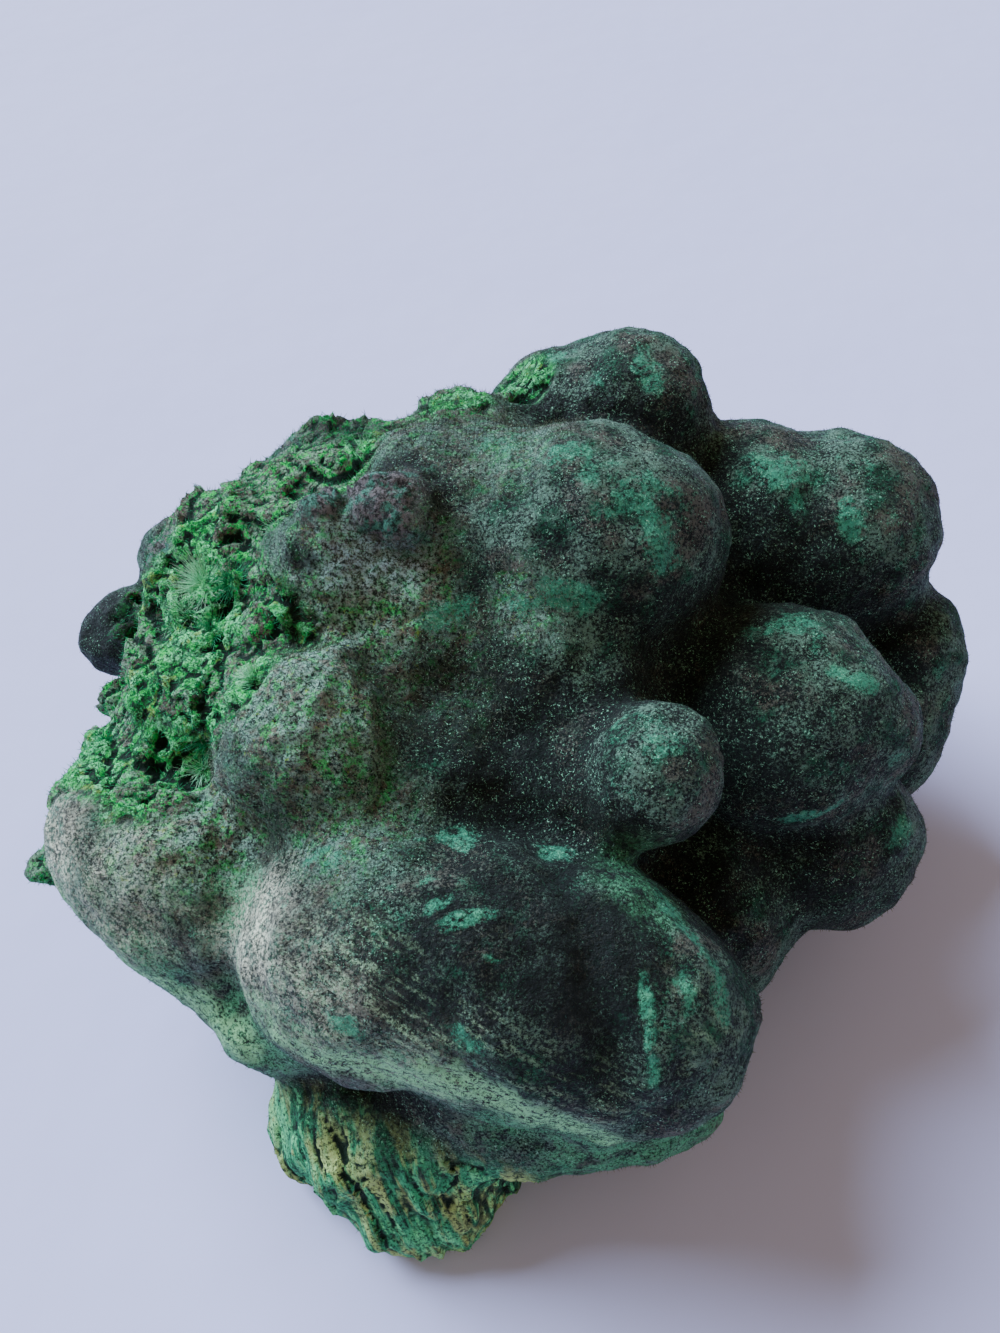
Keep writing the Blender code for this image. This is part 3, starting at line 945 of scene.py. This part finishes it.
def scatter(skin, name, zone, count, lengths, width, lean, material):
    """Scatters fine fibres over the skin's vertices, more of them where zone is high."""
    chance = np.random.default_rng(SEED + count)
    spots, normals = read_spots(skin.data), read_normals(skin.data)
    weights = zone * (spots[:, 2] > 0.6)
    picked = chance.choice(len(spots), count, replace=False, p=weights / weights.sum())
    size = chance.uniform(*lengths, count)
    aims = directions(normals[picked], chance.uniform(0.1, lean, (count, 1)), chance)
    roots = spots[picked] - aims * 0.08
    needles(name, roots, aims, size, np.full(count, width), material)


def sprays(skin, shade, material):
    """Sprays of long fibres that fan out over the crust."""
    chance = np.random.default_rng(SEED)
    spots, normals = read_spots(skin.data), read_normals(skin.data)
    roots, aims, lengths = [], [], []
    for centre, length, count, lean, spray_shade in SPRAYS:
        if spray_shade != shade:
            continue
        nearest = np.argmin(np.linalg.norm(spots - centre, axis=1))
        around = np.linalg.norm(spots - spots[nearest], axis=1) < 3
        normal = normals[around].mean(axis=0)
        normal /= np.linalg.norm(normal)
        root = spots[nearest] - normal * 0.9 + chance.normal(size=(count, 3)) * 0.3
        roots.append(root)
        leans = chance.uniform(0.3, lean * 1.6, (count, 1))
        aims.append(directions(np.tile(normal, (count, 1)), leans, chance))
        lengths.append(chance.uniform(0.45, 1.0, count) * length)
    lengths = np.concatenate(lengths)
    widths = np.random.default_rng(SEED + 1).uniform(0.03, 0.065, len(lengths))
    needles(shade + "_sprays", np.concatenate(roots), np.concatenate(aims), lengths, widths, material)


def read_mark(mesh, name):
    """The number that is marked on each vertex."""
    values = np.empty(len(mesh.vertices), np.float32)
    mesh.attributes[name].data.foreach_get("value", values)
    return values.astype(float)


def fibres(stone):
    """The sprays on the crust, and the fine fibres on crust, moss and velvet."""
    pale = fibre_material("pale_fibres", PALE_FIBRE, 0.6)
    deep = fibre_material("deep_fibres", DEEP_FIBRE, 0.35)
    fine = fibre_material("velvet_fibres", FINE_FIBRE, 0.08)
    felt = fibre_material("felt_fibres", FELT_FIBRE, 0.45)
    sprays(stone, "pale", pale)
    sprays(stone, "deep", deep)
    crust = read_mark(stone.data, "crust")
    velvet = (1 - crust) * (1 - 0.7 * read_mark(stone.data, "foot"))
    mossy = read_mark(stone.data, "moss") * velvet
    sparse = velvet * (1 - 0.85 * read_mark(stone.data, "calm")) * (1 - read_mark(stone.data, "bare"))
    scatter(stone, "crust_fibres", crust**2, CRUST_FIBRES, (0.3, 0.9), 0.045, 2.4, deep)
    scatter(stone, "moss_fibres", mossy, MOSS_FIBRES, (0.35, 0.9), 0.03, 2.4, felt)
    scatter(stone, "velvet_fibres", sparse, VELVET_FIBRES, (0.2, 0.5), 0.04, 0.9, fine)


def plain_floor():
    """A plain sheet of pale paper."""
    bpy.ops.mesh.primitive_plane_add(size=FLOOR_SIZE)
    floor = bpy.context.object
    floor.name = "floor"
    g = Graph("paper")
    tone = g.noise(60.0, 2, 0.5)
    g.put(g.shader.inputs["Base Color"], g.mix(tone, *PAPER_TONES))
    g.shader.inputs["Roughness"].default_value = 0.9
    g.put(g.shader.inputs["Normal"], g.bump(g.noise(14.0, 2, 0.5), 0.15, 1.5))
    floor.data.materials.append(g.material)


def soft_light(name, direction, spread, power, colour):
    """A soft light that comes from a direction, evenly over the whole scene."""
    data = bpy.data.lights.new(name, "SUN")
    data.angle = math.radians(spread)
    data.energy = power
    data.color = colour
    lamp = bpy.data.objects.new(name, data)
    bpy.context.scene.collection.objects.link(lamp)
    lamp.rotation_mode = "QUATERNION"
    lamp.rotation_quaternion = Vector(direction).to_track_quat("Z", "Y")


def studio():
    """A cool window high on the back left, and warm light from the room all round."""
    world = bpy.data.worlds.new("studio")
    bpy.context.scene.world = world
    world.use_nodes = True
    backdrop = world.node_tree.nodes["Background"]
    backdrop.inputs["Color"].default_value = ROOM_COLOUR
    backdrop.inputs["Strength"].default_value = ROOM_STRENGTH
    soft_light("window", WINDOW_DIRECTION, WINDOW_SPREAD, WINDOW_POWER, WINDOW_COLOUR)


def place_camera():
    """A phone's camera that looks down at the stone from the front."""
    camera = bpy.data.objects.new("camera", bpy.data.cameras.new("camera"))
    bpy.context.scene.collection.objects.link(camera)
    bpy.context.scene.camera = camera
    camera.data.lens = CAMERA_LENS
    camera.data.sensor_width = 36.0
    camera.data.clip_start = 0.005
    camera.data.clip_end = 10.0
    lift = math.radians(CAMERA_ELEVATION)
    back = Vector((0, -math.cos(lift), math.sin(lift)))
    camera.location = (Vector(CAMERA_TARGET) + back * CAMERA_DISTANCE) * MM
    camera.rotation_euler = (math.pi / 2 - lift, 0, 0)


def build():
    """Makes the stone, its fibres, the floor, the light and the camera."""
    stone = fine_skin()
    unwrap(stone)
    carve(stone)
    stone.data.materials.append(stone_material())
    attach(stone, "root")
    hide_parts(NODE)
    fibres(stone)
    plain_floor()
    studio()
    place_camera()


build()
